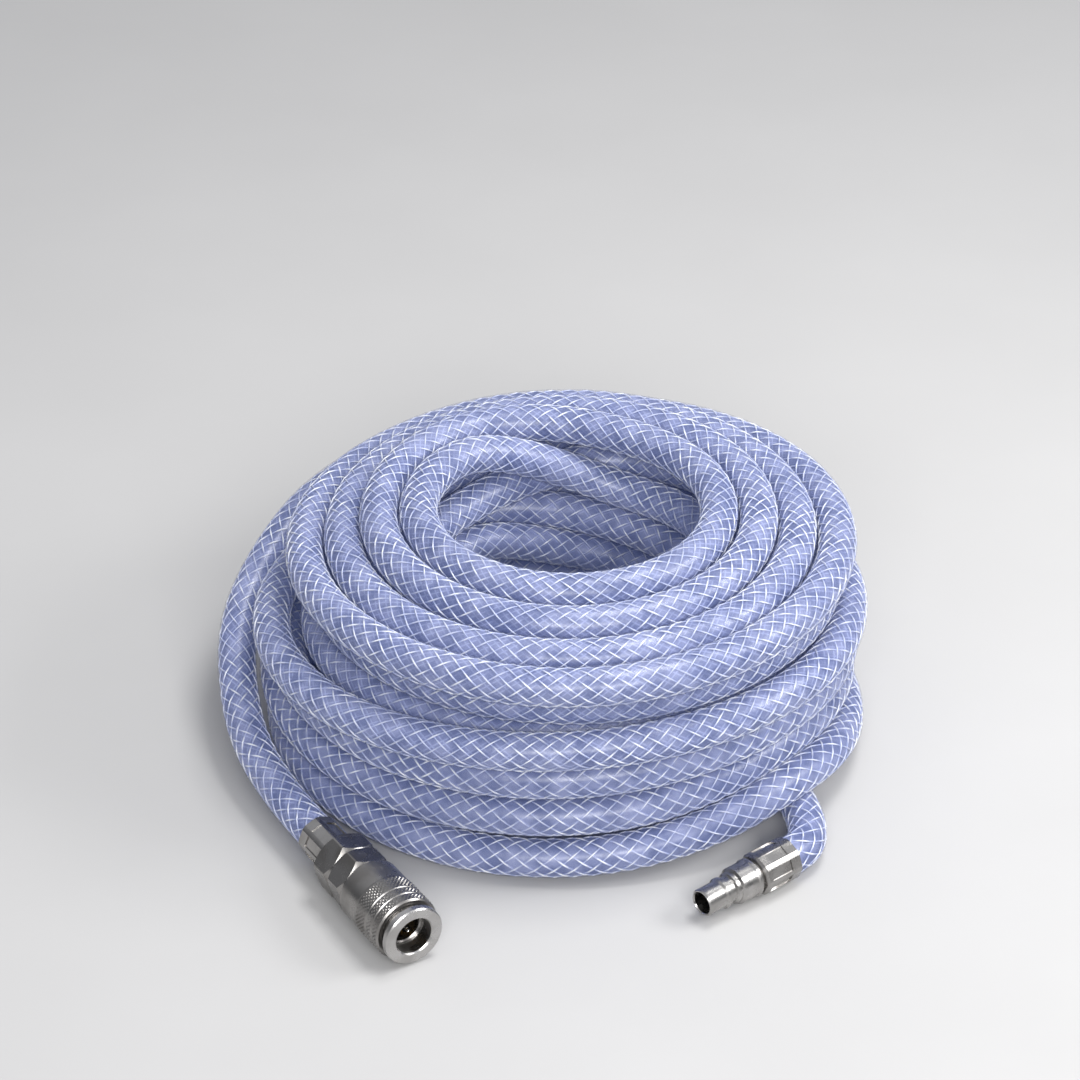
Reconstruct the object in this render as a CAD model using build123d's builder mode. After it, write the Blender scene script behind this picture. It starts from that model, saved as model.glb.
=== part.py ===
from build123d import *
import os
from math import cos, pi, radians, sin, tan

# Coiled air hose with a one-hand quick coupler on one end and a plug nipple on the other.
# Millimetres, +Z up. The origin is on the floor at the coil's axis. The coil lies flat, its two ends
# come forward (-Y): the coupler on the left (-X) and the plug on the right (+X).
os.makedirs("parts", exist_ok=True)

# Hose
hose_r = 7.5
hose_bore_r = 4.5
clamped_r, clamped_bore_r = 7.08, 5.0

# Coil: heights, with the half width and half depth of its outline at each
coil_centre_x = -2.5
coil_hole_r = 50.0
coil_outline = ((0, 106, 105.5), (5, 112, 111.5), (60, 112, 111.5), (86, 102, 106), (98.5, 68, 68))

# Fittings: where each points, and how far along it things come, measured back from its front face
coupler_nose = Vector(-55.4, -153.7, 12.3)
coupler_back = Vector(-0.53, 0.848, 0).normalized()
coupler_length = 69.0
plug_tip = Vector(45.9, -129.6, 8.1)
plug_back = Vector(0.768, 0.641, 0).normalized()
plug_length = 41.5

# Coupler, radii across its axis and depths behind its front face
mouth_r, mouth_depth = 7.1, 6.7
nose_r, nose_thickness = 11.5, 2.8
neck_r, neck_end = 9.6, 7.2
barrel_r, barrel_step = 7.6, 18.0
barrel_rear_r = 8.3
ridge_bore_r, tip_bore_r = 6.05, 5.3
tip_bore_start, seat_depth = 13.6, 20.6
chamber_r, chamber_end = 6.8, 36.7
spigot_bore_r = 8.05
collar_r, collar_start = 10.4, 28.5
hex_flats, hex_corner_r, hex_chamfer, hex_turn = 21.0, 11.95, 1.6, 14
body_hex_start, body_end = 33.2, 42.7
adapter_hex_start, adapter_hex_end = 42.8, 52.8
stem_r, barb_r, stem_bore_r = 4.4, 4.95, 3.1
fit_gap = 0.05
skirt_r, skirt_end = 8.9, 8.9
seal_groove_r, seal_groove_start, seal_groove_end = 6.7, 15.0, 16.8
guide_r, guide_bore_r, guide_thickness = 7.95, 1.68, 2.15
guide_hub_r, guide_hub_length = 3.0, 1.5

# Locking balls, and the release sleeve that lets them out
ball_count, ball_r = 6, 1.5
ball_depth, ball_out_r = 11.0, 7.5
sleeve_travel, ball_travel = 2.3, 1.0
sleeve_start, sleeve_end = 5.2, 32.4
sleeve_r, sleeve_rear_r = 12.3, 12.15
sleeve_front_bore_r, sleeve_land_r, sleeve_skirt_r = 9.75, 7.75, 10.6
sleeve_land_end = 17.0
sleeve_rings = (9.5, 13.5)

# Ferrules
ferrule_flats, ferrule_sides, ferrule_corner_r, ferrule_bore_r = 15.5, 8, 8.05, 7.1
panel_width, panel_length, panel_depth, panel_start = 4.2, 9.5, 0.4, 2.4
ferrule_wall, ferrule_chamfer = 1.2, 0.8
coupler_ferrule_start, plug_ferrule_start = 52.9, 25.3
coupler_hose_start, plug_hose_start = 54.2, 26.6

# The hose's two free ends, from the coil to the back of each fitting
coupler_rear = coupler_nose + coupler_back * coupler_length
plug_rear = plug_tip + plug_back * plug_length
coupler_route = (
    (-84, 64, 60),
    (-111, 36, 49),
    (-124.5, 9, 36),
    (-126, -18, 25),
    (-119.5, -46, 16.2),
    tuple(coupler_rear + coupler_back * 22),
    tuple(coupler_rear),
)
plug_route = (
    tuple(plug_rear),
    tuple(plug_rear + plug_back * 6),
    (85.3, -93.7, 7.8),
    (86.2, -83.7, 7.5),
    (84.5, -73, 7.5),
    (81, -60.5, 7.5),
    (76, -46, 7.5),
)


def side_plane(nose, back):
    """Plane through a fitting's axis: X runs back from its front face and Y is up."""
    return Plane(origin=nose, x_dir=back, z_dir=back.cross(Vector(0, 0, 1)))


def cross_plane(nose, back, depth):
    """Plane across a fitting's axis at a depth behind its front face, with Y up."""
    return Plane(origin=nose + back * depth, x_dir=Vector(0, 0, 1).cross(back), z_dir=back)


def bend_radii(points):
    """Arc radius at each corner: 0.45 of the shorter run beside it, over the tangent of half the turn."""
    radii = []
    for before, corner, after in zip(points, points[1:], points[2:]):
        run_in = Vector(*corner) - Vector(*before)
        run_out = Vector(*after) - Vector(*corner)
        half_turn = radians(run_in.get_angle(run_out)) / 2
        radii.append(0.45 * min(run_in.length, run_out.length) / tan(half_turn))
    return radii


def halfway(first, second):
    """The point midway along a run."""
    return tuple((Vector(*first) + Vector(*second)) / 2)


def barbed_stem(start, end, barbs):
    """Outline points of a barbed stem from start to end, its barbs sloping up towards the start."""
    step = (end - start) / barbs
    points = []
    for i in range(barbs):
        points += [(start + i * step, stem_r), (start + (i + 0.35) * step, barb_r)]
    return points + [(end, stem_r)]


def save(piece, name):
    """Labels a finished piece and writes its STEP file."""
    piece.part.label = name
    export_step(piece.part, f"parts/{name}.step")


coupler_side = side_plane(coupler_nose, coupler_back)
coupler_axis = Axis(coupler_nose, coupler_back)
plug_side = side_plane(plug_tip, plug_back)
plug_axis = Axis(plug_tip, plug_back)

# The hose's routes are cut halfway along a run: one part is fused to the coil, the rest is a tail.
coupler_cut = halfway(coupler_route[2], coupler_route[3])
coil_to_coupler = coupler_route[:3] + (coupler_cut,)
coupler_tail_route = (coupler_cut,) + coupler_route[3:]
plug_cut = halfway(plug_route[2], plug_route[3])
plug_tail_route = plug_route[:3] + (plug_cut,)
coil_to_plug = (plug_cut,) + plug_route[3:]

# ---------------------------------------------------------------- hose
with BuildPart() as hose_coil:
    for height, half_width, half_depth in coil_outline:
        with BuildSketch(Plane.XY.offset(height)):
            with Locations((coil_centre_x, 0)):
                Ellipse(half_width, half_depth)
    loft(ruled=True)
    with BuildSketch(Plane.XY):
        Circle(coil_hole_r)
    extrude(amount=coil_outline[-1][0], mode=Mode.SUBTRACT)
    with BuildLine() as to_coupler:
        FilletPolyline(*coil_to_coupler, radius=bend_radii(coil_to_coupler))
    with BuildSketch(Plane(to_coupler.line @ 1, z_dir=to_coupler.line % 1)):
        Circle(hose_r)
    sweep(path=to_coupler.line)
    with BuildLine() as to_plug:
        FilletPolyline(*coil_to_plug, radius=bend_radii(coil_to_plug))
    with BuildSketch(Plane(to_plug.line @ 0, z_dir=to_plug.line % 0)):
        Circle(hose_r)
    sweep(path=to_plug.line)
save(hose_coil, "hose_coil")

for name, route in (("hose_coupler_tail", coupler_tail_route), ("hose_plug_tail", plug_tail_route)):
    with BuildPart() as hose_tail:
        with BuildLine() as tail_line:
            FilletPolyline(*route, radius=bend_radii(route))
        with BuildSketch(Plane(tail_line.line @ 0, z_dir=tail_line.line % 0)):
            Circle(hose_r)
            Circle(hose_bore_r, mode=Mode.SUBTRACT)
        sweep(path=tail_line.line)
    save(hose_tail, name)
    section = pi * (hose_r**2 - hose_bore_r**2)
    length = sum(edge.length for edge in tail_line.edges())
    print(name, "length", round(length, 1), "mm,",
          "volume over section", round(hose_tail.part.volume / section, 1), "mm,",
          "arc radii", [round(r, 1) for r in bend_radii(route)])

with BuildPart() as hose_end_coupler:
    with BuildSketch(cross_plane(coupler_nose, coupler_back, coupler_hose_start)):
        Circle(clamped_r)
        Circle(clamped_bore_r, mode=Mode.SUBTRACT)
    extrude(amount=coupler_length - coupler_hose_start)
save(hose_end_coupler, "hose_end_coupler")

with BuildPart() as hose_end_plug:
    with BuildSketch(cross_plane(plug_tip, plug_back, plug_hose_start)):
        Circle(clamped_r)
        Circle(clamped_bore_r, mode=Mode.SUBTRACT)
    extrude(amount=plug_length - plug_hose_start)
save(hose_end_plug, "hose_end_plug")

# ---------------------------------------------------------------- ferrules
for name, nose, back, start, end in (
    ("coupler_ferrule", coupler_nose, coupler_back, coupler_ferrule_start, coupler_length),
    ("plug_ferrule", plug_tip, plug_back, plug_ferrule_start, plug_length),
):
    with BuildPart() as ferrule:
        with BuildSketch(cross_plane(nose, back, start)):
            RegularPolygon(ferrule_flats / 2, ferrule_sides, major_radius=False)
            Circle(ferrule_corner_r, mode=Mode.INTERSECT)
        extrude(amount=end - start)
        chamfer(ferrule.faces().sort_by(Axis(nose, back))[0].edges(), ferrule_chamfer)
        with BuildSketch(cross_plane(nose, back, start)):
            Circle(stem_r + fit_gap)
        extrude(amount=end - start, mode=Mode.SUBTRACT)
        with BuildSketch(cross_plane(nose, back, start + ferrule_wall)):
            Circle(ferrule_bore_r)
        extrude(amount=end - start, mode=Mode.SUBTRACT)
        with BuildSketch(cross_plane(nose, back, start + panel_start)):
            with PolarLocations(ferrule_flats / 2, ferrule_sides, start_angle=180 / ferrule_sides):
                Rectangle(2 * panel_depth, panel_width)
        extrude(amount=panel_length, mode=Mode.SUBTRACT)
    save(ferrule, name)

# ---------------------------------------------------------------- coupler: fixed metal
with BuildPart() as nose_ring:
    with BuildSketch(coupler_side):
        with BuildLine():
            Polyline(
                (0, mouth_r + 0.5),
                (0, nose_r - 0.5),
                (0.5, nose_r),
                (nose_thickness - 0.3, nose_r),
                (nose_thickness, nose_r - 0.3),
                (nose_thickness, neck_r),
                (neck_end, neck_r),
                (neck_end, skirt_r),
                (skirt_end, skirt_r),
                (skirt_end, barrel_r + fit_gap),
                (mouth_depth, barrel_r + fit_gap),
                (mouth_depth, mouth_r),
                (0.5, mouth_r),
                close=True,
            )
        make_face()
    revolve(axis=coupler_axis)
save(nose_ring, "nose_ring")

with BuildPart() as coupler_body:
    with BuildSketch(cross_plane(coupler_nose, coupler_back, body_hex_start)):
        RegularPolygon(hex_flats / 2, 6, major_radius=False, rotation=hex_turn)
    extrude(amount=body_end - body_hex_start)
    with BuildSketch(coupler_side):
        with BuildLine():
            Polyline(
                (body_hex_start, 0),
                (body_hex_start, hex_flats / 2 - 0.2),
                (body_hex_start + hex_chamfer, hex_corner_r),
                (body_end - hex_chamfer, hex_corner_r),
                (body_end, hex_flats / 2 - 0.2),
                (body_end, 0),
                close=True,
            )
        make_face()
    revolve(axis=coupler_axis, mode=Mode.INTERSECT)
    with BuildSketch(coupler_side):
        with BuildLine():
            Polyline(
                (mouth_depth + fit_gap, 0),
                (mouth_depth + fit_gap, barrel_r),
                (barrel_step, barrel_r),
                (barrel_step, barrel_rear_r),
                (collar_start, barrel_rear_r),
                (collar_start, collar_r),
                (body_hex_start + 1, collar_r),
                (body_hex_start + 1, 0),
                close=True,
            )
        make_face()
    revolve(axis=coupler_axis)
    with BuildSketch(coupler_side):
        with BuildLine():
            Polyline(
                (mouth_depth, 0),
                (mouth_depth, ridge_bore_r + 0.5),
                (mouth_depth + 0.5, ridge_bore_r),
                (tip_bore_start, ridge_bore_r),
                (tip_bore_start, tip_bore_r),
                (seal_groove_start, tip_bore_r),
                (seal_groove_start, seal_groove_r),
                (seal_groove_end, seal_groove_r),
                (seal_groove_end, tip_bore_r),
                (seat_depth, tip_bore_r),
                (seat_depth, chamber_r),
                (chamber_end, chamber_r),
                (chamber_end, spigot_bore_r),
                (body_end + 1, spigot_bore_r),
                (body_end + 1, 0),
                close=True,
            )
        make_face()
    revolve(axis=coupler_axis, mode=Mode.SUBTRACT)
    for k in range(ball_count):
        turn = radians(360 / ball_count * k)
        outwards = coupler_side.z_dir * cos(turn) + Vector(0, 0, 1) * sin(turn)
        with BuildSketch(Plane(origin=coupler_nose + coupler_back * ball_depth, z_dir=outwards)):
            Circle(ball_r + fit_gap)
        extrude(amount=barrel_r + 1, mode=Mode.SUBTRACT)
save(coupler_body, "coupler_body")

with BuildPart() as hose_adapter:
    with BuildSketch(cross_plane(coupler_nose, coupler_back, adapter_hex_start)):
        RegularPolygon(hex_flats / 2, 6, major_radius=False, rotation=hex_turn)
    extrude(amount=adapter_hex_end - adapter_hex_start)
    with BuildSketch(coupler_side):
        with BuildLine():
            Polyline(
                (adapter_hex_start, 0),
                (adapter_hex_start, hex_flats / 2 - 0.2),
                (adapter_hex_start + hex_chamfer, hex_corner_r),
                (adapter_hex_end - hex_chamfer, hex_corner_r),
                (adapter_hex_end, hex_flats / 2 - 0.2),
                (adapter_hex_end, 0),
                close=True,
            )
        make_face()
    revolve(axis=coupler_axis, mode=Mode.INTERSECT)
    with BuildSketch(coupler_side):
        with BuildLine():
            Polyline(
                (38.95, 4.0),
                (38.95, 8.0),
                (40.4, 8.0),
                (40.4, 6.9),
                (41.8, 6.9),
                (41.8, 8.0),
                (adapter_hex_start, 8.0),
                (adapter_hex_start + 1, 8.0),
                (adapter_hex_start + 1, 4.0),
                close=True,
            )
        make_face()
    revolve(axis=coupler_axis)
    with BuildSketch(coupler_side):
        with BuildLine():
            Polyline(
                (adapter_hex_end - 1, 0),
                (adapter_hex_end - 1, stem_r),
                *barbed_stem(adapter_hex_end + 1.6, coupler_length - 0.8, 4),
                (coupler_length - 0.8, 0),
                close=True,
            )
        make_face()
    revolve(axis=coupler_axis)
    with BuildSketch(coupler_side):
        with BuildLine():
            Polyline(
                (38.9, 0), (38.9, 4.0), (46.0, 4.0), (47.0, stem_bore_r),
                (coupler_length, stem_bore_r), (coupler_length, 0), close=True,
            )
        make_face()
    revolve(axis=coupler_axis, mode=Mode.SUBTRACT)
save(hose_adapter, "hose_adapter")

with BuildPart() as valve_guide:
    with BuildSketch(cross_plane(coupler_nose, coupler_back, chamber_end + fit_gap)):
        Circle(guide_r)
        Circle(guide_bore_r, mode=Mode.SUBTRACT)
        with PolarLocations(5.0, 6):
            Circle(1.35, mode=Mode.SUBTRACT)
    extrude(amount=guide_thickness)
    with BuildSketch(cross_plane(coupler_nose, coupler_back, chamber_end - 1.2)):
        Circle(guide_hub_r)
        Circle(guide_bore_r, mode=Mode.SUBTRACT)
    extrude(amount=guide_hub_length)
save(valve_guide, "valve_guide")

# ---------------------------------------------------------------- coupler: seals, section radius last
for name, depth, centre_r, section_r in (
    ("plug_seal", 15.9, 5.9, 0.78),
    ("adapter_seal", 41.1, 7.47, 0.55),
    ("poppet_seal", 21.35, 5.75, 0.7),
):
    with BuildPart() as seal:
        with BuildSketch(coupler_side):
            with Locations((depth, centre_r)):
                Circle(section_r)
        revolve(axis=coupler_axis)
    save(seal, name)

# ---------------------------------------------------------------- coupler: moving metal
for k in range(ball_count):
    turn = radians(360 / ball_count * k)
    outwards = coupler_side.z_dir * cos(turn) + Vector(0, 0, 1) * sin(turn)
    with BuildPart() as locking_ball:
        with Locations(coupler_nose + coupler_back * ball_depth + outwards * ball_out_r):
            Sphere(ball_r)
    save(locking_ball, f"locking_ball_{k + 1}")

# The cone inside the sleeve falls one ball travel over one sleeve travel, so a ball keeps its gap to it.
cone_slope = ball_travel / sleeve_travel
cone_r_at_ball = ball_out_r + (ball_r + fit_gap) * (1 + cone_slope**2) ** 0.5
with BuildPart() as release_sleeve:
    with BuildSketch(coupler_side):
        with BuildLine():
            Polyline(
                (sleeve_start, sleeve_front_bore_r + 0.5),
                (sleeve_start, sleeve_r - 0.6),
                (sleeve_start + 0.6, sleeve_r),
                *[
                    (ring + shift, sleeve_r - drop)
                    for ring in sleeve_rings
                    for shift, drop in ((-0.35, 0), (0, 0.35), (0.35, 0))
                ],
                (20.6, sleeve_r),
                (21.0, sleeve_rear_r),
                (sleeve_end - 0.8, sleeve_rear_r),
                (sleeve_end, sleeve_rear_r - 0.8),
                (sleeve_end, sleeve_skirt_r),
                (sleeve_land_end, sleeve_skirt_r),
                (sleeve_land_end, sleeve_land_r),
                (ball_depth + (cone_r_at_ball - sleeve_land_r) / cone_slope, sleeve_land_r),
                (ball_depth + (cone_r_at_ball - sleeve_front_bore_r) / cone_slope, sleeve_front_bore_r),
                (sleeve_start + 0.5, sleeve_front_bore_r),
                close=True,
            )
        make_face()
    revolve(axis=coupler_axis)
save(release_sleeve, "release_sleeve")

with BuildPart() as valve_poppet:
    with BuildSketch(coupler_side):
        with BuildLine():
            Polyline(
                (17.7, 3.9),
                (17.7, 4.9),
                (17.9, 5.1),
                (20.4, 5.1),
                (20.4, 5.0),
                (22.1, 5.0),
                (22.1, 6.2),
                (24.1, 6.2),
                (24.6, 2.4),
                (25.2, 1.6),
                (39.3, 1.6),
                (39.3, 0),
                (20.2, 0),
                (20.2, 3.9),
                close=True,
            )
        make_face()
    revolve(axis=coupler_axis)
    with BuildSketch(cross_plane(coupler_nose, coupler_back, 18.7)):
        with PolarLocations(4.5, 4, start_angle=45):
            Rectangle(2.4, 2.4)
    extrude(amount=1.5, mode=Mode.SUBTRACT)
save(valve_poppet, "valve_poppet")

# ---------------------------------------------------------------- coupler: springs, from depth to depth
for name, start, end, helix_r, wire_r, turns in (
    ("sleeve_spring", 17.15, 28.35, 9.45, 0.55, 4.5),
    ("valve_spring", 24.75, 35.4, 4.4, 0.45, 5.5),
):
    span = end - start - 2 * wire_r
    with BuildPart() as spring:
        with BuildLine() as wire_line:
            Helix(
                pitch=span / turns,
                height=span,
                radius=helix_r,
                center=coupler_nose + coupler_back * (start + wire_r),
                direction=coupler_back,
            )
        with BuildSketch(Plane(wire_line.line @ 0, z_dir=wire_line.line % 0)):
            Circle(wire_r)
        sweep(path=wire_line.line, is_frenet=True)
    save(spring, name)

# ---------------------------------------------------------------- plug
with BuildPart() as plug_nipple:
    with BuildSketch(plug_side):
        with BuildLine():
            Polyline(
                (0, 4.4),
                (0, 4.75),
                (0.5, 5.15),
                (7.8, 5.15),
                (8.6, 5.85),
                (9.8, 5.85),
                (10.4, 5.0),
                (12.6, 5.0),
                (13.2, 5.9),
                (14.8, 5.9),
                (15.4, 6.95),
                (21.9, 6.95),
                (22.4, 7.35),
                (23.4, 7.35),
                (24.0, 6.4),
                (25.2, 6.2),
                (25.2, stem_r),
                *barbed_stem(26.8, plug_length - 0.8, 4),
                (plug_length - 0.8, stem_bore_r),
                (14.5, stem_bore_r),
                (12.0, 4.15),
                (0.4, 4.15),
                close=True,
            )
        make_face()
    revolve(axis=plug_axis)
save(plug_nipple, "plug_nipple")
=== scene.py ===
import math

import bmesh
import bpy
import numpy as np
from mathutils import Matrix, Vector


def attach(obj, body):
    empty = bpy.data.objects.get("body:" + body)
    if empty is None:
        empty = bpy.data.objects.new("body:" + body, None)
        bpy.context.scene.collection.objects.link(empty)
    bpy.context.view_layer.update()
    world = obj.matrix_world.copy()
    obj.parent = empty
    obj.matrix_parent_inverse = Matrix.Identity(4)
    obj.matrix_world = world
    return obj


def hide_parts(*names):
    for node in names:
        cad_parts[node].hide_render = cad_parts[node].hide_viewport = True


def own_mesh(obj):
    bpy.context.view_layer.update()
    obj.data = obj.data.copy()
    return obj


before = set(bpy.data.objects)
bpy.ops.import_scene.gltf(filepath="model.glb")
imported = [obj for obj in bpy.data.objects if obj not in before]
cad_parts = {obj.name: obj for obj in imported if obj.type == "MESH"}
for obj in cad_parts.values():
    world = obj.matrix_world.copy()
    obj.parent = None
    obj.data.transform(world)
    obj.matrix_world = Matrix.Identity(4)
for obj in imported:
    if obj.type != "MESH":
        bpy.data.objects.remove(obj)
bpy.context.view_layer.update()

# ---------------------------------------------------------------- sizes
HOSE_R = 0.0075
LINER_R = 0.00672
YARN_R = 0.00032
YARN_LINE_R = 0.00682
YARN_WAVE = 0.00016
YARNS_EACH_WAY = 8
BRAID_LEAD = 0.054
BRAID_PIECES = 5
CELL_POINTS = 4
LINER_STEP = 0.0045
END_STEP = 0.01
TURNS_APART = 0.0153
FLOOR_GAP = 0.0003
TURN_POINTS = 24

COUPLER_NOSE = Vector((-0.0554, -0.1537, 0.0123))
COUPLER_BACK = Vector((-0.53, 0.848, 0)).normalized()
PLUG_TIP = Vector((0.0459, -0.1296, 0.0081))
PLUG_BACK = Vector((0.768, 0.641, 0)).normalized()
COUPLER_REAR = COUPLER_NOSE + COUPLER_BACK * 0.069
PLUG_REAR = PLUG_TIP + PLUG_BACK * 0.0415

# The hose's two free ends, as the CAD routes them, each from the ferrule inwards or outwards.
PLUG_ROUTE = (
    tuple(PLUG_REAR),
    tuple(PLUG_REAR + PLUG_BACK * 0.006),
    (0.0853, -0.0937, 0.0078),
    (0.0862, -0.0837, 0.0075),
    (0.0845, -0.073, 0.0075),
    (0.081, -0.0605, 0.0075),
    (0.076, -0.046, 0.0075),
)
COUPLER_ROUTE = (
    (-0.044, 0.098, 0.068),
    (-0.072, 0.084, 0.064),
    (-0.0985, 0.067, 0.057),
    (-0.1155, 0.0385, 0.0487),
    (-0.127, 0.0105, 0.036),
    (-0.126, -0.018, 0.025),
    (-0.1195, -0.046, 0.0162),
    tuple(COUPLER_REAR + COUPLER_BACK * 0.022),
    tuple(COUPLER_REAR),
)

# Each turn of the coil, from the floor up: its radius, then its height, in millimetres, at the front,
# on the right, behind and on the left.
TURNS = (
    ((86, 86, 86, 86), (7.5, 7.5, 7.5, 7.5)),
    ((67, 67, 67, 67), (7.5, 7.5, 7.5, 7.5)),
    ((57.3, 57.3, 57.3, 57.3), (20, 20, 20, 20)),
    ((72.7, 72.7, 72.7, 72.7), (21.5, 21.5, 21.5, 21.5)),
    ((86, 88, 86, 89), (22.6, 22.6, 22.6, 22.6)),
    ((104.5, 101.5, 104, 110.5), (7.5, 8.5, 7.5, 7.5)),
    ((100.5, 100.5, 101, 111), (24.5, 24, 22.8, 22.8)),
    ((101, 103, 100, 109.5), (40.5, 39, 38, 35)),
    ((79, 81, 79, 86), (38, 38, 38, 37)),
    ((57.3, 57.3, 57.3, 57.3), (35.2, 35.2, 35, 35.2)),
    ((57.3, 57.3, 57.3, 57.3), (50.5, 50.5, 50.3, 50.5)),
    ((72.8, 72.8, 71, 76), (53, 53, 52, 52)),
    ((88.4, 87, 85, 97), (54.3, 53.5, 52.5, 51)),
    ((104, 102, 100, 117), (56, 54, 52.4, 50.5)),
    ((93.5, 98, 88, 93), (67.5, 67, 65.5, 66)),
    ((74, 77, 73.5, 75), (71.5, 71.5, 71.5, 71)),
    ((58, 58, 57.3, 58), (66.5, 66.5, 66, 66.5)),
    ((57.3, 57.3, 57.3, 60), (91.2, 91, 91, 91)),
    ((71.1, 73, 72.3, 73.5), (87, 88, 89, 88)),
    ((85.3, 86.5, 85, 87.5), (83, 83.5, 82.5, 81.5)),
    ((100, 94.5, 99.5, 94), (80.5, 77.5, 69.5, 77)),
)
TURN_CHANGE = 100
TURN_BLEND = 40


# ---------------------------------------------------------------- the hose's line
def around(four, azimuth):
    """Value at an azimuth, from the values at the front, on the right, behind and on the left."""
    front, right, behind, left = four
    a = math.radians(azimuth)
    mean = (front + right + behind + left) / 4
    oval = (right + left - front - behind) / 4
    sideways = (right - left) / 2 * math.cos(a)
    lengthways = (behind - front) / 2 * math.sin(a)
    return mean + sideways + lengthways + oval * math.cos(2 * a)


def turn_point(azimuth):
    """Point of the coil at a running azimuth. Each turn passes into the next one at the back."""
    place = (azimuth - TURN_CHANGE) / 360 + 1
    turn = math.floor(place)
    past = (place - turn) * 360
    if past < TURN_BLEND:
        pair, share = (turn - 1, turn), 0.5 + 0.5 * past / TURN_BLEND
    elif past > 360 - TURN_BLEND:
        pair, share = (turn, turn + 1), 0.5 - 0.5 * (360 - past) / TURN_BLEND
    else:
        pair, share = (turn, turn), 0
    share = share * share * (3 - 2 * share)
    old, new = (TURNS[min(max(t, 0), len(TURNS) - 1)] for t in pair)
    radius, height = (
        around(old[i], azimuth) * (1 - share) + around(new[i], azimuth) * share for i in (0, 1)
    )
    a = math.radians(azimuth)
    return radius * math.cos(a) / 1000, radius * math.sin(a) / 1000, height / 1000


def smooth_line(name, points, samples):
    """NURBS curve with these control points, and the points of its line in order."""
    curve = bpy.data.curves.new(name, "CURVE")
    curve.dimensions = "3D"
    curve.resolution_u = samples
    spline = curve.splines.new("NURBS")
    spline.points.add(len(points) - 1)
    for knot, point in zip(spline.points, points):
        knot.co = (*point, 1)
    spline.order_u = 3
    spline.use_endpoint_u = True
    made = bpy.data.objects.new(name, curve)
    mesh = bpy.data.meshes.new_from_object(made)
    line = np.array([point.co for point in mesh.vertices])
    bpy.data.meshes.remove(mesh)
    return made, line


def evenly(line, step):
    """Points along a line, about one step apart."""
    runs = np.linalg.norm(np.diff(line, axis=0), axis=1)
    along = np.concatenate([[0], np.cumsum(runs)])
    places = np.linspace(0, along[-1], max(2, round(along[-1] / step) + 1))
    return np.stack([np.interp(places, along, line[:, i]) for i in range(3)], axis=1), places


def settle(line, held, passes=200):
    """Lets the turns push each other apart until they lie side by side and on each other."""
    plan = line.copy()
    first, second = np.triu_indices(len(line), 8)
    for _ in range(passes):
        gap = line[second] - line[first]
        distance = np.linalg.norm(gap, axis=1)
        near = distance < TURNS_APART
        push = gap[near] / distance[near, None] * ((TURNS_APART - distance[near]) * 0.35)[:, None]
        move = np.zeros_like(line)
        count = np.zeros(len(line))
        for ends, way in ((first[near], -1), (second[near], 1)):
            np.add.at(move, ends, way * push)
            np.add.at(count, ends, 1)
        move /= np.sqrt(np.maximum(count, 1))[:, None]
        for _ in range(2):
            move[1:-1] = move[1:-1] * 0.5 + (move[:-2] + move[2:]) * 0.25
        away = line + move - plan
        away[1:-1] = away[1:-1] * 0.9 + (away[:-2] + away[2:]) * 0.05
        line = plan + away * 0.999
        line[:, 2] = np.maximum(line[:, 2], HOSE_R + FLOOR_GAP)
        line[held] = plan[held]
    return line


coil_azimuths = np.arange(-15, 360 * (len(TURNS) - 1) + TURN_CHANGE + 1, 180 / TURN_POINTS)
coil = np.array([turn_point(a) for a in coil_azimuths])
first_end = smooth_line("plug_end", [*PLUG_ROUTE, coil[0]], 12)[1]
last_end = smooth_line("coupler_end", [coil[-1], *COUPLER_ROUTE], 12)[1]
first_end = evenly(first_end, END_STEP)[0][:-1]
last_end = evenly(last_end, END_STEP)[0][1:]
whole = np.vstack([first_end, coil, last_end])
held = np.ones(len(whole), bool)
held[len(first_end):len(whole) - len(last_end)] = False
settled = settle(whole, held)[~held]

route = [*COUPLER_ROUTE[::-1], *map(tuple, settled[::2][::-1]), *PLUG_ROUTE[::-1]]
hose_cover, hose_line = smooth_line("hose_cover", route, 6)
bpy.context.scene.collection.objects.link(hose_cover)
hose_cover.data.bevel_depth = HOSE_R
hose_cover.data.bevel_resolution = 4
hose_cover.data.use_fill_caps = True
hose_line, hose_along = evenly(hose_line, BRAID_LEAD / YARNS_EACH_WAY / CELL_POINTS)
HOSE_LENGTH = hose_along[-1]


def link(name, mesh):
    """New object for a finished mesh."""
    made = bpy.data.objects.new(name, mesh)
    bpy.context.scene.collection.objects.link(made)
    return made


def side_frames(line):
    """Two directions across a line at each of its points, carried along it without twist."""
    ahead = np.gradient(line, axis=0)
    ahead /= np.linalg.norm(ahead, axis=1)[:, None]
    side = np.zeros_like(line)
    side[0] = np.cross(ahead[0], (0, 0, 1))
    for i in range(1, len(line)):
        side[i] = side[i - 1] - ahead[i] * np.dot(side[i - 1], ahead[i])
        side[i] /= np.linalg.norm(side[i])
    side[0] /= np.linalg.norm(side[0])
    return side, np.cross(ahead, side)


def lines_to_tubes(name, lines, radius, resolution):
    """One mesh of round strands, one along each line."""
    curve = bpy.data.curves.new(name, "CURVE")
    curve.dimensions = "3D"
    curve.bevel_depth = radius
    curve.bevel_resolution = resolution
    curve.use_fill_caps = True
    for line in lines:
        spline = curve.splines.new("POLY")
        spline.points.add(len(line) - 1)
        spline.points.foreach_set("co", np.hstack([line, np.ones((len(line), 1))]).ravel())
        spline.use_smooth = True
    made = bpy.data.objects.new(name, curve)
    mesh = bpy.data.meshes.new_from_object(made)
    mesh.name = name
    bpy.data.objects.remove(made)
    return link(name, mesh)


hose_side, hose_up = side_frames(hose_line)
hose_liner = lines_to_tubes("hose_liner", [evenly(hose_line, LINER_STEP)[0]], LINER_R, 4)

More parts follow.
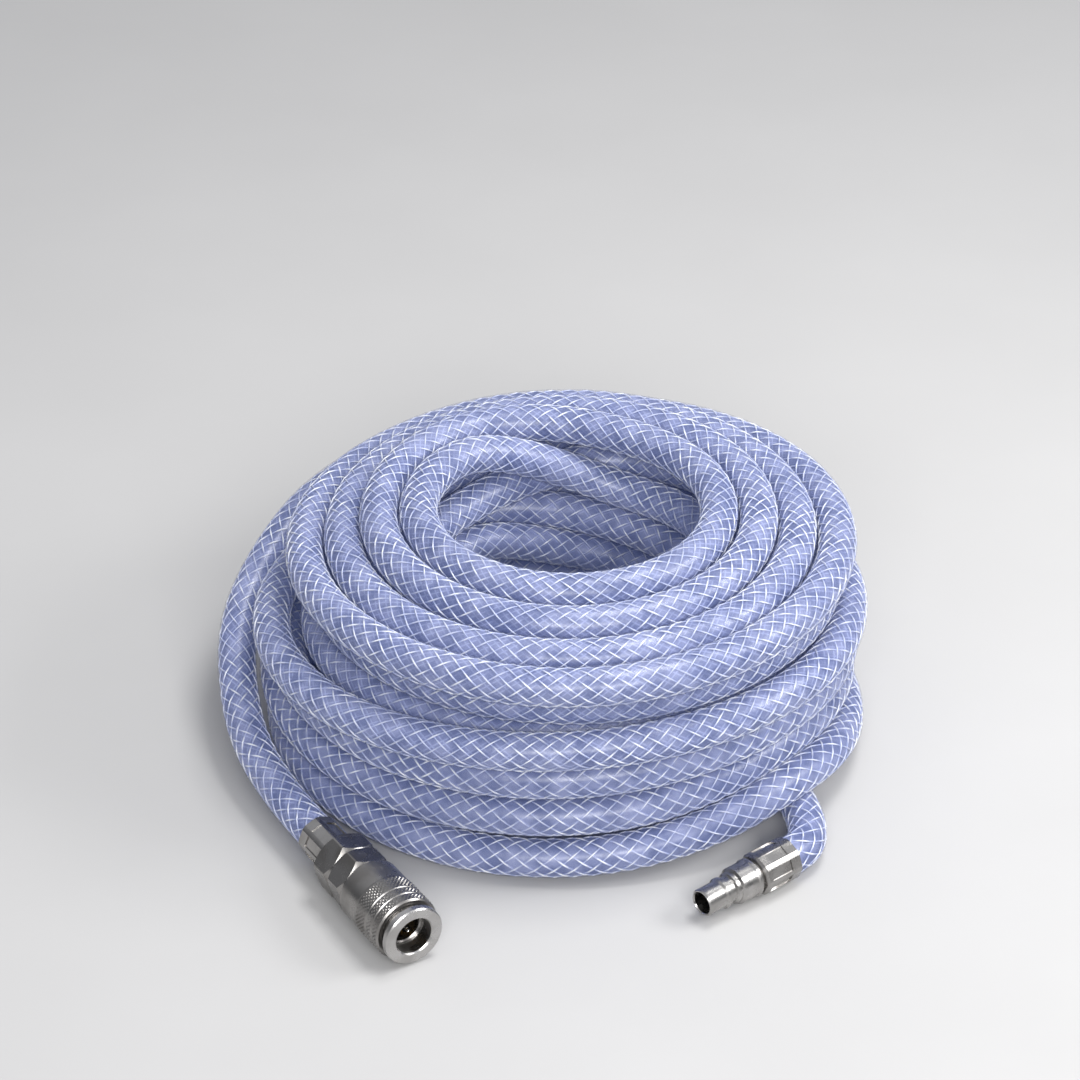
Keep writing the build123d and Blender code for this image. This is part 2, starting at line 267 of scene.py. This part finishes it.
braid = []
strands = []
phase = 2 * math.pi * hose_along / BRAID_LEAD
for way in (1, -1):
    for k in range(YARNS_EACH_WAY):
        turn = way * phase + 2 * math.pi * k / YARNS_EACH_WAY
        reach = YARN_LINE_R + way * YARN_WAVE * np.cos(YARNS_EACH_WAY * phase)
        strands.append(
            hose_line
            + hose_side * (np.cos(turn) * reach)[:, None]
            + hose_up * (np.sin(turn) * reach)[:, None]
        )
cuts = np.linspace(0, len(hose_line) - 1, BRAID_PIECES + 1).astype(int)
for part, (start, end) in enumerate(zip(cuts, cuts[1:])):
    pieces = [strand[start:end + 1] for strand in strands]
    piece = lines_to_tubes(f"hose_braid_{part + 1}", pieces, YARN_R, 0)
    lift = np.concatenate([
        np.repeat(way * np.cos(YARNS_EACH_WAY * phase[start:end + 1]), 4)
        for way in (1, -1) for _ in range(YARNS_EACH_WAY)
    ])
    caps = np.zeros(len(piece.data.vertices) - len(lift))
    lift = np.concatenate([caps, lift]).astype(np.float32)
    piece.data.attributes.new("lift", "FLOAT", "POINT").data.foreach_set("value", lift)
    braid.append(piece)


# ---------------------------------------------------------------- shader groups
def new_group(name, inputs, outputs):
    """Empty shader group with its sockets: (name, socket type, default) and (name, socket type)."""
    group = bpy.data.node_groups.new(name, "ShaderNodeTree")
    for label, kind, default in inputs:
        socket = group.interface.new_socket(label, in_out="INPUT", socket_type="NodeSocket" + kind)
        socket.default_value = default
    for label, kind in outputs:
        group.interface.new_socket(label, in_out="OUTPUT", socket_type="NodeSocket" + kind)
    return group, group.nodes.new("NodeGroupInput"), group.nodes.new("NodeGroupOutput")


def add(tree, kind, inputs=None, **settings):
    """New node with its settings, and its inputs set to values or linked to sockets."""
    node = tree.nodes.new("ShaderNode" + kind)
    for key, value in settings.items():
        setattr(node, key, value)
    for key, value in (inputs or {}).items():
        if isinstance(value, bpy.types.NodeSocket):
            tree.links.new(value, node.inputs[key])
        else:
            node.inputs[key].default_value = value
    return node


def ramp(tree, value, low, high):
    """Value brought from the range low..high to 0..1, smoothly."""
    node = add(tree, "MapRange", {"Value": value, "From Min": low, "From Max": high})
    node.interpolation_type = "SMOOTHSTEP"
    return node.outputs["Result"]


def math_node(tree, operation, *values):
    """Result of a sum."""
    return add(tree, "Math", dict(enumerate(values)), operation=operation).outputs[0]


def make_cloudiness():
    """Broad soft patches and fine specks."""
    group, into, out = new_group(
        "cloudiness",
        [("Vector", "Vector", (0, 0, 0)), ("Patch Scale", "Float", 40), ("Speck Scale", "Float", 900)],
        [("Patches", "Float"), ("Specks", "Float")],
    )
    patches = add(group, "TexNoise", {
        "Vector": into.outputs["Vector"], "Scale": into.outputs["Patch Scale"], "Detail": 3, "Roughness": 0.5,
    })
    specks = add(group, "TexNoise", {
        "Vector": into.outputs["Vector"], "Scale": into.outputs["Speck Scale"], "Detail": 2, "Roughness": 0.6,
    })
    group.links.new(ramp(group, patches.outputs["Fac"], 0.35, 0.65), out.inputs["Patches"])
    group.links.new(ramp(group, specks.outputs["Fac"], 0.35, 0.65), out.inputs["Specks"])
    return group


def make_turned_metal():
    """Fine rings from the lathe round the X axis of its vector, light scratches and handling marks."""
    group, into, out = new_group(
        "turned_metal",
        [("Vector", "Vector", (0, 0, 0)), ("Ring Scale", "Float", 2500), ("Mark Scale", "Float", 300)],
        [("Rings", "Float"), ("Marks", "Float"), ("Smudges", "Float")],
    )
    parts = add(group, "SeparateXYZ", {"Vector": into.outputs["Vector"]})
    along = add(group, "CombineXYZ", {"X": parts.outputs["X"]})
    rings = add(group, "TexNoise", {
        "Vector": along.outputs[0], "Scale": into.outputs["Ring Scale"], "Detail": 3, "Roughness": 0.65,
    })
    marks = add(group, "TexNoise", {
        "Vector": into.outputs["Vector"], "Scale": into.outputs["Mark Scale"], "Detail": 5, "Roughness": 0.7,
    })
    smudges = add(group, "TexNoise", {
        "Vector": into.outputs["Vector"], "Scale": 120, "Detail": 2, "Roughness": 0.5,
    })
    group.links.new(rings.outputs["Fac"], out.inputs["Rings"])
    group.links.new(ramp(group, marks.outputs["Fac"], 0.52, 0.72), out.inputs["Marks"])
    group.links.new(ramp(group, smudges.outputs["Fac"], 0.35, 0.7), out.inputs["Smudges"])
    return group


CLOUDINESS = make_cloudiness()
TURNED_METAL = make_turned_metal()


# ---------------------------------------------------------------- materials
def new_material(name):
    """Material with a Principled shader, and its tree."""
    material = bpy.data.materials.new(name)
    material.use_nodes = True
    return material, material.node_tree, material.node_tree.nodes["Principled BSDF"]


def group_node(tree, group, inputs):
    """A shared group placed in a material."""
    node = tree.nodes.new("ShaderNodeGroup")
    node.node_tree = group
    for key, value in inputs.items():
        if isinstance(value, bpy.types.NodeSocket):
            tree.links.new(value, node.inputs[key])
        else:
            node.inputs[key].default_value = value
    return node


def mix_colour(tree, share, low, high):
    """Colour between two colours."""
    node = add(tree, "Mix", {0: share}, data_type="RGBA")
    for index, value in ((6, low), (7, high)):
        if isinstance(value, bpy.types.NodeSocket):
            tree.links.new(value, node.inputs[index])
        else:
            node.inputs[index].default_value = (*value, 1)
    return node.outputs[2]


def scaled(tree, value, low, high):
    """Value from 0..1 brought to low..high."""
    return add(tree, "MapRange", {"Value": value, "To Min": low, "To Max": high}).outputs["Result"]


def axis_vector(tree, origin, back):
    """Object coordinates turned so that X runs back along a fitting from its front face."""
    place = add(tree, "TexCoord")
    mapping = add(tree, "Mapping", {
        "Vector": place.outputs["Object"],
        "Location": tuple(origin),
        "Rotation": (0, 0, math.atan2(back.y, back.x)),
    }, vector_type="TEXTURE")
    return mapping.outputs["Vector"]


def set_bump(tree, shader, height, strength, distance):
    """Bump from a height."""
    bump = add(tree, "Bump", {"Height": height, "Strength": strength, "Distance": distance})
    tree.links.new(bump.outputs["Normal"], shader.inputs["Normal"])


def rubber_material(name, low, high, roughness):
    """Moulded rubber, a little dusty."""
    material, tree, shader = new_material(name)
    place = add(tree, "TexCoord")
    cloud = group_node(tree, CLOUDINESS, {
        "Vector": place.outputs["Object"], "Patch Scale": 180, "Speck Scale": 1800,
    })
    tree.links.new(mix_colour(tree, cloud.outputs["Patches"], low, high), shader.inputs["Base Color"])
    rough = scaled(tree, cloud.outputs["Specks"], roughness, roughness + 0.15)
    tree.links.new(rough, shader.inputs["Roughness"])
    set_bump(tree, shader, cloud.outputs["Specks"], 0.4, 0.00002)
    return material


def metal_material(name, colour, tint, roughness, origin, back, ring_bump=0.000008, spread=0.14):
    """Plated metal, turned on a lathe."""
    material, tree, shader = new_material(name)
    lathe = group_node(tree, TURNED_METAL, {"Vector": axis_vector(tree, origin, back)})
    tree.links.new(mix_colour(tree, lathe.outputs["Smudges"], colour, tint), shader.inputs["Base Color"])
    rough = math_node(tree, "ADD", scaled(tree, lathe.outputs["Smudges"], roughness, roughness + spread),
                      math_node(tree, "MULTIPLY", lathe.outputs["Marks"], 0.12))
    tree.links.new(rough, shader.inputs["Roughness"])
    shader.inputs["Metallic"].default_value = 1
    set_bump(tree, shader, lathe.outputs["Rings"], 0.5, ring_bump)
    return material


def liner_material():
    """Milky PVC tube, with the yarns of its far side showing through as faint lines, and a faint painted glow
    standing in for light that passes through it.
    """
    material, tree, shader = new_material("milky_liner_pvc")
    place = add(tree, "TexCoord")
    cloud = group_node(tree, CLOUDINESS, {
        "Vector": place.outputs["Object"], "Patch Scale": 150, "Speck Scale": 700,
    })
    parts = add(tree, "SeparateXYZ", {"Vector": place.outputs["UV"]})
    along = math_node(tree, "MULTIPLY", parts.outputs["X"], HOSE_LENGTH / BRAID_LEAD * YARNS_EACH_WAY)
    round_it = math_node(tree, "MULTIPLY_ADD", parts.outputs["Y"], YARNS_EACH_WAY, 0.5)
    lines = []
    for operation in ("ADD", "SUBTRACT"):
        place_across = math_node(tree, "FRACT", math_node(tree, operation, round_it, along))
        off = math_node(tree, "ABSOLUTE", math_node(tree, "SUBTRACT", place_across, 0.5))
        lines.append(ramp(tree, off, 0.1, 0.02))
    faint = math_node(tree, "MAXIMUM", *lines)
    faint = math_node(tree, "MULTIPLY", faint, scaled(tree, cloud.outputs["Patches"], 0.1, 0.6))
    body = mix_colour(tree, cloud.outputs["Patches"], (0.085, 0.105, 0.215), (0.17, 0.195, 0.335))
    tree.links.new(mix_colour(tree, faint, body, (0.36, 0.4, 0.62)), shader.inputs["Base Color"])
    tree.links.new(scaled(tree, cloud.outputs["Specks"], 0.3, 0.45), shader.inputs["Roughness"])
    # Painted light: a faint blue glow stands in for light passing through the translucent PVC, and it
    # lightens the shade between the turns.
    shader.inputs["Emission Color"].default_value = (0.2, 0.27, 0.6, 1)
    shader.inputs["Emission Strength"].default_value = 0.12
    set_bump(tree, shader, cloud.outputs["Patches"], 0.4, 0.0001)
    return material


def yarn_material():
    """Textile yarn, with a painted highlight where it lies on top of the braid, painted shade where it dives
    under, and painted glints in patches.
    """
    material, tree, shader = new_material("textile_yarn")
    place = add(tree, "TexCoord")
    cloud = group_node(tree, CLOUDINESS, {
        "Vector": place.outputs["Object"], "Patch Scale": 60, "Speck Scale": 2400,
    })
    lift = add(tree, "Attribute", attribute_name="lift").outputs["Fac"]
    # Painted light: the white stands for the yarn's highlight on top of the weave, and the dim lavender for
    # shade where it dives under. The patches dim it unevenly as painted glints.
    painted_light_share = ramp(tree, lift, -0.6, 0.8)
    painted_light_share = math_node(tree, "MULTIPLY", painted_light_share, scaled(tree, cloud.outputs["Patches"], 0.35, 1))
    colour = mix_colour(tree, painted_light_share, (0.36, 0.41, 0.64), (0.96, 0.98, 1.0))
    tree.links.new(colour, shader.inputs["Base Color"])
    tree.links.new(scaled(tree, cloud.outputs["Specks"], 0.2, 0.35), shader.inputs["Roughness"])
    set_bump(tree, shader, cloud.outputs["Specks"], 0.5, 0.00005)
    return material


def cover_material():
    """Clear outer skin, glossy and slightly wavy over the braid."""
    material, tree, shader = new_material("clear_cover_pvc")
    place = add(tree, "TexCoord")
    cloud = group_node(tree, CLOUDINESS, {
        "Vector": place.outputs["Object"], "Patch Scale": 75, "Speck Scale": 300,
    })
    tint = mix_colour(tree, cloud.outputs["Patches"], (0.24, 0.28, 0.48), (0.45, 0.49, 0.72))
    tree.links.new(tint, shader.inputs["Base Color"])
    tree.links.new(scaled(tree, cloud.outputs["Patches"], 0.3, 0.18), shader.inputs["Roughness"])
    tree.links.new(scaled(tree, cloud.outputs["Patches"], 0.1, 0.24), shader.inputs["Alpha"])
    shader.inputs["Coat Weight"].default_value = 0.8
    shader.inputs["Coat Roughness"].default_value = 0.22
    shader.inputs["Coat IOR"].default_value = 1.6
    set_bump(tree, shader, cloud.outputs["Specks"], 0.6, 0.0004)
    return material


COVER_PVC = cover_material()
LINER_PVC = liner_material()
YARN = yarn_material()
coupler_axis = (COUPLER_NOSE, COUPLER_BACK)
plug_axis = (PLUG_TIP, PLUG_BACK)
COUPLER_METAL = metal_material(
    "nickel_coupler", (0.30, 0.29, 0.28), (0.21, 0.20, 0.19),
    0.2, *coupler_axis,
)
NOSE_METAL = metal_material(
    "nickel_nose", (0.52, 0.51, 0.50), (0.42, 0.41, 0.40),
    0.24, *coupler_axis, 0.00001,
)
SLEEVE_METAL = metal_material(
    "nickel_sleeve", (0.31, 0.30, 0.29), (0.23, 0.22, 0.21),
    0.27, *coupler_axis,
)
KNURL_METAL = metal_material(
    "knurled_nickel", (0.27, 0.26, 0.25), (0.18, 0.17, 0.16),
    0.3, *coupler_axis,
)
FERRULE_METAL = metal_material(
    "crimped_nickel", (0.38, 0.37, 0.36), (0.28, 0.27, 0.26),
    0.16, *coupler_axis,
)
PLUG_METAL = metal_material(
    "polished_plug", (0.46, 0.45, 0.44), (0.35, 0.34, 0.33),
    0.18, *plug_axis,
)
PLUG_FERRULE_METAL = metal_material(
    "crimped_plug_ferrule", (0.38, 0.37, 0.36), (0.28, 0.27, 0.26),
    0.18, *plug_axis,
)
SPRING_STEEL = metal_material(
    "spring_wire", (0.45, 0.45, 0.46), (0.36, 0.36, 0.37),
    0.28, *coupler_axis,
)
BALL_STEEL = metal_material(
    "ground_balls", (0.66, 0.66, 0.67), (0.6, 0.6, 0.61),
    0.08, *coupler_axis,
)
VALVE_BRASS = metal_material(
    "turned_brass", (0.70, 0.54, 0.28), (0.58, 0.43, 0.2),
    0.24, *coupler_axis,
)
SEAL_RUBBER = rubber_material("nitrile_rubber", (0.012, 0.012, 0.013), (0.025, 0.025, 0.026), 0.5)


def dress(name, material):
    """Gives a CAD node its material."""
    made = bpy.data.objects[name]
    if not made.material_slots:
        made.data.materials.append(material)
    for slot in made.material_slots:
        slot.material = material


for name, material in (
    ("coupler_body", COUPLER_METAL),
    ("hose_adapter", COUPLER_METAL),
    ("nose_ring", NOSE_METAL),
    ("release_sleeve", SLEEVE_METAL),
    ("coupler_ferrule", FERRULE_METAL),
    ("plug_ferrule", PLUG_FERRULE_METAL),
    ("plug_nipple", PLUG_METAL),
    ("sleeve_spring", SPRING_STEEL),
    ("valve_spring", SPRING_STEEL),
    ("valve_poppet", VALVE_BRASS),
    ("valve_guide", VALVE_BRASS),
    ("plug_seal", SEAL_RUBBER),
    ("adapter_seal", SEAL_RUBBER),
    ("poppet_seal", SEAL_RUBBER),
    ("hose_end_coupler", LINER_PVC),
    ("hose_end_plug", LINER_PVC),
    *((f"locking_ball_{k}", BALL_STEEL) for k in range(1, 7)),
):
    dress(name, material)


# ---------------------------------------------------------------- knurl on the sleeve
KNURL_BANDS = ((0.0058, 0.009), (0.0099, 0.0131), (0.014, 0.0205))
KNURL_R = 0.01215
KNURL_COLUMNS = 48
KNURL_RISE = 0.00045


def along_coupler(depth):
    """Turns and moves a shape made along +Z so that it runs back along the coupler from this depth."""
    turn = Vector((0, 0, 1)).rotation_difference(COUPLER_BACK).to_matrix().to_4x4()
    return Matrix.Translation(COUPLER_NOSE + COUPLER_BACK * depth) @ turn


def knurl_band(start, end):
    """Closed ring of diamond pyramids round the sleeve, between two depths behind the nose."""
    rows = max(2, round((end - start) / (2 * math.pi * KNURL_R / KNURL_COLUMNS)))
    mesh = bmesh.new()
    bmesh.ops.create_circle(mesh, segments=KNURL_COLUMNS, radius=KNURL_R)
    edges = mesh.edges[:]
    for _ in range(rows):
        grown = bmesh.ops.extrude_edge_only(mesh, edges=edges)["geom"]
        moved = [g for g in grown if isinstance(g, bmesh.types.BMVert)]
        bmesh.ops.translate(mesh, verts=moved, vec=(0, 0, (end - start) / rows))
        edges = [g for g in grown if isinstance(g, bmesh.types.BMEdge) and set(g.verts) <= set(moved)]
    inner = [e for e in mesh.edges if len(e.link_faces) == 2]
    rims = [e for e in mesh.edges if len(e.link_faces) == 1]
    bmesh.ops.poke(mesh, faces=mesh.faces[:])
    bmesh.ops.dissolve_edges(mesh, edges=inner, use_verts=False)
    diamonds = [f for f in mesh.faces if len(f.verts) == 4]
    bmesh.ops.poke(mesh, faces=diamonds, offset=KNURL_RISE)
    grown = bmesh.ops.extrude_edge_only(mesh, edges=rims)["geom"]
    moved = [g for g in grown if isinstance(g, bmesh.types.BMVert)]
    bmesh.ops.scale(mesh, verts=moved, vec=(0.98, 0.98, 1))
    rims = [g for g in grown if isinstance(g, bmesh.types.BMEdge) and set(g.verts) <= set(moved)]
    bmesh.ops.bridge_loops(mesh, edges=rims)
    bmesh.ops.recalc_face_normals(mesh, faces=mesh.faces[:])
    bmesh.ops.transform(mesh, matrix=along_coupler(start), verts=mesh.verts[:])
    return mesh


knurl = bmesh.new()
for start, end in KNURL_BANDS:
    band = knurl_band(start, end)
    spare = bpy.data.meshes.new("band")
    band.to_mesh(spare)
    knurl.from_mesh(spare)
    bpy.data.meshes.remove(spare)
    band.free()
knurl_mesh = bpy.data.meshes.new("sleeve_knurl")
knurl.to_mesh(knurl_mesh)
knurl.free()
sleeve_knurl = link("sleeve_knurl", knurl_mesh)
knurl_mesh.materials.append(KNURL_METAL)
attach(sleeve_knurl, "sleeve")

# ---------------------------------------------------------------- spring behind the valve's poppet
VALVE_SPRING_FRONT = 0.02475
VALVE_SPRING_BACK = 0.0354
VALVE_SPRING_R = 0.0044
VALVE_WIRE_R = 0.00045
VALVE_SPRING_TURNS = 5.5

steps = round(24 * VALVE_SPRING_TURNS)
climb = (VALVE_SPRING_BACK - VALVE_SPRING_FRONT - 2 * VALVE_WIRE_R) / steps
wire = bmesh.new()
bmesh.ops.create_circle(wire, segments=10, radius=VALVE_WIRE_R)
bmesh.ops.rotate(wire, verts=wire.verts[:], cent=(0, 0, 0), matrix=Matrix.Rotation(math.pi / 2, 3, "X"))
bmesh.ops.translate(wire, verts=wire.verts[:], vec=(VALVE_SPRING_R, 0, VALVE_WIRE_R))
bmesh.ops.spin(
    wire, geom=wire.verts[:] + wire.edges[:], cent=(0, 0, 0), axis=(0, 0, 1), dvec=(0, 0, climb),
    angle=2 * math.pi * VALVE_SPRING_TURNS, steps=steps,
)
bmesh.ops.holes_fill(wire, edges=[e for e in wire.edges if len(e.link_faces) == 1], sides=0)
bmesh.ops.recalc_face_normals(wire, faces=wire.faces[:])
for face in wire.faces:
    face.smooth = len(face.verts) == 4
bmesh.ops.transform(wire, matrix=along_coupler(VALVE_SPRING_FRONT), verts=wire.verts[:])
wire_mesh = bpy.data.meshes.new("valve_spring_wire")
wire.to_mesh(wire_mesh)
wire.free()
valve_spring_wire = link("valve_spring_wire", wire_mesh)
wire_mesh.materials.append(SPRING_STEEL)
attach(valve_spring_wire, "root")
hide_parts("valve_spring")
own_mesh(valve_spring_wire)

# ---------------------------------------------------------------- the hose's pieces
hose_cover.data.materials.append(COVER_PVC)
hose_liner.data.materials.append(LINER_PVC)
for piece in (hose_cover, hose_liner, *braid):
    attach(piece, "root")
for piece in braid:
    piece.data.materials.append(YARN)
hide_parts("hose_coil", "hose_coupler_tail", "hose_plug_tail")

# ---------------------------------------------------------------- floor, light, camera
ground = bmesh.new()
bmesh.ops.create_grid(ground, x_segments=1, y_segments=1, size=4)
floor_mesh = bpy.data.meshes.new("floor")
ground.to_mesh(floor_mesh)
ground.free()
floor = link("floor", floor_mesh)
floor_material, floor_tree, floor_shader = new_material("pale_floor")
floor_place = add(floor_tree, "TexCoord")
floor_noise = add(floor_tree, "TexNoise", {"Vector": floor_place.outputs["Object"], "Scale": 9, "Detail": 4})
floor_tree.links.new(
    mix_colour(floor_tree, floor_noise.outputs["Fac"], (0.46, 0.455, 0.45), (0.5, 0.495, 0.49)),
    floor_shader.inputs["Base Color"],
)
floor_shader.inputs["Roughness"].default_value = 0.9
floor_shader.inputs["Specular IOR Level"].default_value = 0.2
floor_mesh.materials.append(floor_material)


def softbox(name, place, size, power, target=(0, -0.02, 0.04)):
    """Rectangular lamp facing the object."""
    lamp = bpy.data.lights.new(name, "AREA")
    lamp.shape = "RECTANGLE"
    lamp.size, lamp.size_y = size
    lamp.energy = power
    made = bpy.data.objects.new(name, lamp)
    made.location = place
    made.rotation_euler = (Vector(target) - Vector(place)).to_track_quat("-Z", "Y").to_euler()
    bpy.context.scene.collection.objects.link(made)


softbox("key", (0.28, 0.05, 1.15), (0.5, 0.4), 8)
softbox("fill", (0.8, -0.1, 0.6), (0.45, 0.3), 5)
softbox("front", (0.15, -1.6, 1.0), (1.2, 0.5), 25)

world = bpy.data.worlds.new("studio")
bpy.context.scene.world = world
world.use_nodes = True
sky = world.node_tree
background = sky.nodes["Background"]
heading = add(sky, "SeparateXYZ", {"Vector": add(sky, "TexCoord").outputs["Generated"]})
sky.links.new(
    mix_colour(sky, ramp(sky, heading.outputs["Z"], 0.05, 0.75), (0.16, 0.17, 0.19), (1.0, 1.02, 1.08)),
    background.inputs["Color"],
)
background.inputs["Strength"].default_value = 0.6

bpy.context.scene.view_settings.view_transform = "Standard"
camera_data = bpy.data.cameras.new("camera")
camera_data.lens = 130
camera_data.sensor_width = 36
camera = bpy.data.objects.new("camera", camera_data)
camera.location = (-0.01154, -1.22239, 0.87180)
camera.rotation_euler = (math.radians(57), 0, 0)
bpy.context.scene.collection.objects.link(camera)
bpy.context.scene.camera = camera
